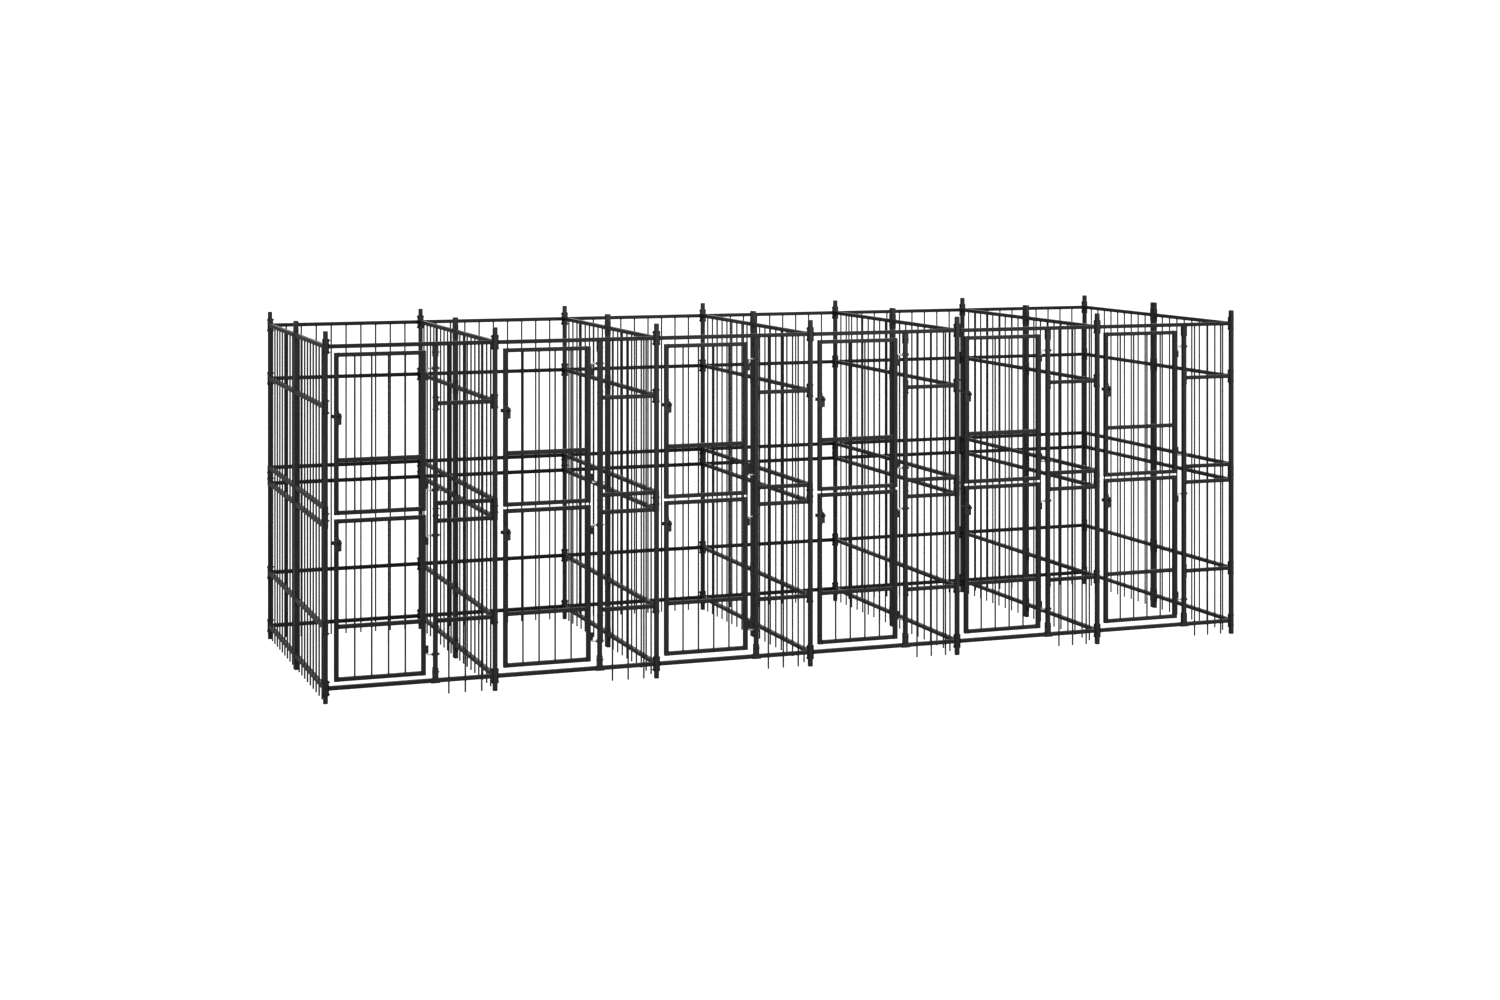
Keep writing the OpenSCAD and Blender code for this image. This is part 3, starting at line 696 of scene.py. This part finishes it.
# ---- Post caps and feet ----
def end_plug(w, d, thickness):
    """Moulded plug: a tapered shank below the origin plane, and a head with rounded edges."""
    shank_w, shank_d = w - 2 * WALL - PLUG_CLEARANCE, d - 2 * WALL - PLUG_CLEARANCE

    def level(inset, z, corner):
        return rounded_square(w - 2 * inset, d - 2 * inset, corner, z)

    return stack([rounded_square(shank_w - PLUG_TAPER, shank_d - PLUG_TAPER, 1.0, -PLUG_SHANK_H),
                  rounded_square(shank_w, shank_d, 1.2, -PLUG_SHANK_H + PLUG_LEAD_IN),
                  rounded_square(shank_w, shank_d, 1.2, 0),
                  level(0.3, 0, 2.0), level(0, 0.3, 2.2), level(0, thickness - 1.1, 2.2),
                  level(0.35, thickness - 0.45, 2.3), level(1.1, thickness - 0.1, 2.6),
                  level(4.0, thickness, 2.0)], caps=(True, True))


def post_ends():
    for name, cad_node, z, thickness, way in (("cap", "post_caps", POST_H - CAP_H, CAP_H, np.eye(3)),
                                              ("foot", "post_feet", FOOT_H, FOOT_H, HALF_TURN_X)):
        ends = Piece(f"post_{name}_set", "row", "black_plastic")
        square = end_plug(POST, POST, thickness)
        oblong = end_plug(POST, MIDDLE_POST, thickness)
        for line in range(CELLS + 1):
            for row in range(3):
                ends.add(oblong if row == 1 else square, (line * CELL_W, row * BAY_D, z), way)
        ends.build(replaces=[cad_node])


# ---- Weld beads ----
def bar_collar():
    """Fillet weld round a bar, where it meets a rail's face on the origin plane."""
    around = 10
    lobes = 3
    wave = 1 + 0.10 * np.sin(lobes * 2 * math.pi * np.arange(around) / around + 0.7)
    return stack([ring(BAR_R + 2.3 * wave, -0.3, around), ring(BAR_R + 1.2 * wave, 1.3 * wave, around),
                  ring(BAR_R - 0.4, 2.3, around)], closed=True)


def rail_end_bead():
    """Rippled fillet weld round the end of a rail, on the face of the plate at the origin plane."""
    corner = 2.2
    base = rounded_square(RAIL, RAIL, corner, 0, steps=3, side_steps=6)
    out = rounded_square(RAIL + 2, RAIL + 2, corner + 1, 0, steps=3, side_steps=6) - base
    ripple = 1 + 0.16 * np.sin(2.4 * np.arange(len(base)))[:, None]
    lift = np.array([0.0, 0.0, 1.0])
    return stack([base + out * 2.5 * ripple - 0.3 * lift, base + out * 1.5 * ripple + 1.5 * ripple * lift,
                  base - out * 0.4 + 2.6 * lift], closed=True)


def straight_bead(length):
    """Rippled fillet weld along Z, centred on the origin, in the corner between +X and +Y."""
    leg = 2.4
    sunk = -0.4
    steps = 16
    rings = []
    for k, z in enumerate(np.linspace(-length / 2, length / 2, steps + 1)):
        r = leg * (1 + 0.14 * math.sin(2.2 * k)) * (0.55 if k in (0, steps) else 1.0)
        rings.append([(sunk, sunk, z), (r, sunk, z), (0.66 * r, 0.66 * r, z), (sunk, r, z)])
    return stack(rings, caps=(True, True))


class Welds:
    """The collars and rail-end beads of one piece, each laid at a turn of its own."""

    def __init__(self, name, body):
        self.piece = Piece(name, body, "black_powder_coat")
        self.collar, self.end = bar_collar(), rail_end_bead()

    def bar(self, x, y, z, side):
        turned = along((0, 0, side), RANDOM.uniform(0, FULL_TURN))
        self.piece.add(self.collar, (x, y, z), turned)

    def rail(self, place, axis):
        quarter = math.pi / 2 * int(RANDOM.integers(0, 4))
        self.piece.add(self.end, place, along(axis, quarter))

    def crossings(self, x, y, heights, skip_top=False, skip_bottom=False):
        """Collars above and below the rails at these heights, for one bar."""
        for z in heights:
            if not (skip_top and z == max(heights)):
                self.bar(x, y, z + RAIL / 2, 1)
            if not (skip_bottom and z == min(heights)):
                self.bar(x, y, z - RAIL / 2, -1)


def side_panel_welds():
    """Welds of the panels that run from the front to the back."""
    start, end = POST / 2 + PLATE, BAY_D - MIDDLE_POST / 2 - PLATE
    middle = (start + end) / 2
    welds = Welds("side_panel_welds", "row")
    for line in range(CELLS + 1):
        for front in (True, False):
            origin, way = (0, 1) if front else (2 * BAY_D, -1)
            for z in RAIL_HEIGHTS:
                welds.rail((line * CELL_W, origin + way * start, z), (0, way, 0))
                welds.rail((line * CELL_W, origin + way * end, z), (0, -way, 0))
            for k in PANEL_BARS:
                y = origin + way * (middle + k * SIDE_BAR_PITCH)
                welds.crossings(line * CELL_W, y, RAIL_HEIGHTS, skip_top=True)
    welds.piece.build(smooth=60)


def cross_panel_welds():
    """Welds of the rear panels, the front rails and the narrow front grilles."""
    welds = Welds("cross_panel_welds", "row")
    start, end = POST / 2 + 2 * PLATE, CELL_W - POST / 2 - 2 * PLATE
    grille_start = DOOR_POST_X + POST / 2 + PLATE
    grille_middle = (DOOR_POST_X + CELL_W) / 2
    for cell in range(CELLS):
        x = cell * CELL_W
        for y, heights in ((2 * BAY_D, RAIL_HEIGHTS), (0, [RAIL_HEIGHTS[0], RAIL_HEIGHTS[-1]])):
            for z in heights:
                welds.rail((x + start, y, z), (1, 0, 0))
                welds.rail((x + end, y, z), (-1, 0, 0))
        for k in PANEL_BARS:
            welds.crossings(x + CELL_W / 2 + k * BAR_PITCH, 2 * BAY_D, RAIL_HEIGHTS, skip_top=True)
        for z in RAIL_HEIGHTS[1:-1]:
            welds.rail((x + grille_start, 0, z), (1, 0, 0))
            welds.rail((x + end - GRILLE_GAP, 0, z), (-1, 0, 0))
        for k in GRILLE_BARS:
            welds.crossings(x + grille_middle + k * BAR_PITCH, 0, RAIL_HEIGHTS[1:-1])
    welds.piece.build(smooth=60)


def leaf_welds():
    """Welds of each door leaf, which move with it."""
    middle = (LATCH_STILE_X + HINGE_STILE_X) / 2
    barrel_bead = straight_bead(BARREL_H - 2)
    for level, bases in LEAF_BASES.items():
        for cell, base in enumerate(bases):
            x = cell * CELL_W
            welds = Welds(f"{level}_leaf_welds_{cell + 1}", f"{level}_door_{cell + 1}")
            for up in LEAF_RAILS:
                welds.rail((x + LATCH_STILE_X + POST / 2, 0, base + up), (1, 0, 0))
                welds.rail((x + HINGE_STILE_X - POST / 2, 0, base + up), (-1, 0, 0))
            for k in LEAF_BARS:
                welds.crossings(x + middle + k * BAR_PITCH, 0, [base + up for up in LEAF_RAILS],
                                skip_top=True, skip_bottom=True)
            for up in HINGE_UPS:
                place = (x + HINGE_STILE_X + POST / 2, BARREL_R, base + up)
                welds.piece.add(barrel_bead, place)
                welds.piece.add(barrel_bead, (place[0], -BARREL_R, place[2]), HALF_TURN_X)
            welds.piece.build(smooth=60)


# ---- Latches ----
def knob_grip():
    """Fluted knob along +Z, standing on the origin plane."""
    around = 40
    flute = np.where(np.arange(around) % 4 < 2, 0.0, KNOB_FLUTE)
    return stack([ring(KNOB_R - 2.4, -0.4, around), ring(KNOB_R - 1.2, 0, around),
                  ring(KNOB_R - flute, 0.9, around), ring(KNOB_R - flute, 7.6, around),
                  ring(KNOB_R - 1 - 0.5 * flute, 9.0, around), ring(KNOB_R - 2.6, 9.8, around),
                  ring(KNOB_R / 3, 10.1, around)], caps=(True, True))


def screw_head():
    """Domed screw head with a hexagon socket, standing on the origin plane."""
    around = 12
    head_r = 3.3
    socket = hexagon(2.6, around)
    return stack([ring(head_r, -0.3, around), ring(head_r, 0.5, around), ring(head_r - 0.4, 1.3, around),
                  ring(head_r - 1.3, 1.9, around), ring(socket, 2.0, around), ring(socket, 0.8, around)],
                 caps=(True, True))


def latch_details():
    """A knob on each latch bolt, which slides with it, and two screws in each housing, on the leaf."""
    knob, screw = knob_grip(), screw_head()
    for level, bases in LEAF_BASES.items():
        for cell, base in enumerate(bases):
            stile_x = cell * CELL_W + LATCH_STILE_X
            z = base + LATCH_UP[level]
            number = cell + 1
            grip = Piece(f"{level}_knob_{number}", f"{level}_slide_{number}", "black_plastic")
            grip.add(knob, (stile_x + KNOB_X, KNOB_BACK, z), along((0, -1, 0)))
            grip.build()
            screws = Piece(f"{level}_latch_screws_{number}", f"{level}_door_{number}", "black_fasteners")
            for up in LATCH_SCREW_UPS:
                screws.add(screw, (stile_x, LATCH_FRONT, z + up), along((0, -1, 0), RANDOM.uniform(0, 1)))
            screws.build()


# ---- Stage, light and camera ----
def stage():
    """A floor that looks white to the camera and mid grey to the reflections."""
    floor_mesh = bpy.data.meshes.new("floor")
    corners = [(x * FLOOR_HALF, y * FLOOR_HALF, 0) for x, y in ((-1, -1), (1, -1), (1, 1), (-1, 1))]
    floor_mesh.from_pydata(corners, [], [(0, 1, 2, 3)])
    floor = bpy.data.objects.new("floor", floor_mesh)
    floor.location = (0, 0, cad_low.z)
    bpy.context.scene.collection.objects.link(floor)
    s = Shader("floor")
    s.finish(grey(FLOOR_GREY), 0.9, 0.0, 0.1)
    seen = s.math("MULTIPLY", s.add("ShaderNodeLightPath").outputs["Is Camera Ray"], FLOOR_GLOW)
    s.put(s.surface.inputs["Emission Color"], grey(1.0))
    s.put(s.surface.inputs["Emission Strength"], seen)
    floor_mesh.materials.append(s.material)


def lamp(name, place, aim, size, power):
    data = bpy.data.lights.new(name, "AREA")
    data.shape = "RECTANGLE"
    data.size, data.size_y = size
    data.energy = power
    holder = bpy.data.objects.new(name, data)
    holder.location = place
    holder.rotation_euler = (aim - Vector(place)).to_track_quat("-Z", "Y").to_euler()
    bpy.context.scene.collection.objects.link(holder)


def lights():
    """A sky that looks white to the camera and lights the row by its glows only, and the lamps."""
    world = bpy.data.worlds.new("studio")
    world.use_nodes = True
    tree = world.node_tree
    sky = tree.nodes["Background"]
    path = tree.nodes.new("ShaderNodeLightPath")
    place = tree.nodes.new("ShaderNodeTexCoord")

    def glow(direction, low, high, new_low, new_high):
        product = tree.nodes.new("ShaderNodeVectorMath")
        product.operation = "DOT_PRODUCT"
        product.inputs[1].default_value = Vector(direction).normalized()
        tree.links.new(place.outputs["Generated"], product.inputs[0])
        span = tree.nodes.new("ShaderNodeMapRange")
        span.interpolation_type = "SMOOTHSTEP"
        limits = {"From Min": low, "From Max": high, "To Min": new_low, "To Max": new_high}
        for name, value in limits.items():
            span.inputs[name].default_value = value
        tree.links.new(product.outputs["Value"], span.inputs["Value"])
        return span.outputs["Result"]

    def combine(operation, a, b):
        node = tree.nodes.new("ShaderNodeMath")
        node.operation = operation
        for socket, value in zip(node.inputs, (a, b)):
            if isinstance(value, bpy.types.NodeSocket):
                tree.links.new(value, socket)
            else:
                socket.default_value = value
        return node.outputs[0]

    above, front, back = [glow(*values) for values in SKY_GLOWS]
    strength = combine("ADD", combine("ADD", above, front), back)
    seen = path.outputs["Is Camera Ray"]
    white = combine("MULTIPLY", seen, SKY_WHITE)
    lit = combine("MULTIPLY", combine("SUBTRACT", 1.0, seen), strength)
    tree.links.new(combine("ADD", white, lit), sky.inputs["Strength"])
    sky.inputs["Color"].default_value = (1.0, 1.0, 1.0, 1.0)
    bpy.context.scene.world = world
    centre = (cad_low + cad_high) / 2
    for name, (spot, size, power) in LAMPS.items():
        lamp(name, spot, centre, size, power)


def camera():
    """A level camera with a shifted frame."""
    data = bpy.data.cameras.new("camera")
    data.lens = LENS
    data.sensor_width = SENSOR
    data.clip_start = 0.5
    data.clip_end = 500
    eye = bpy.data.objects.new("camera", data)
    eye.location = CAMERA_PLACE
    eye.rotation_euler = (math.pi / 2, 0, -CAMERA_YAW)
    bpy.context.scene.collection.objects.link(eye)
    bpy.context.scene.camera = eye
    for path, shift in (("shift_x", SHIFT_X), ("shift_y", SHIFT_Y)):
        curve = data.driver_add(path)
        curve.driver.type = "SUM"
        variable = curve.driver.variables.new()
        variable.type = "SINGLE_PROP"
        variable.targets[0].id_type = "OBJECT"
        variable.targets[0].id = eye
        variable.targets[0].data_path = "rotation_mode"
        for modifier in list(curve.modifiers):
            curve.modifiers.remove(modifier)
        line = curve.modifiers.new("GENERATOR")
        line.poly_order = 1
        line.coefficients = (0.0, shift)


def colour_settings():
    scene = bpy.context.scene
    scene.view_settings.view_transform = "Standard"
    scene.view_settings.look = "None"


paint_frame()
round_frame()
clamp_fasteners()
hinges()
post_ends()
side_panel_welds()
cross_panel_welds()
leaf_welds()
latch_details()
stage()
lights()
camera()
colour_settings()
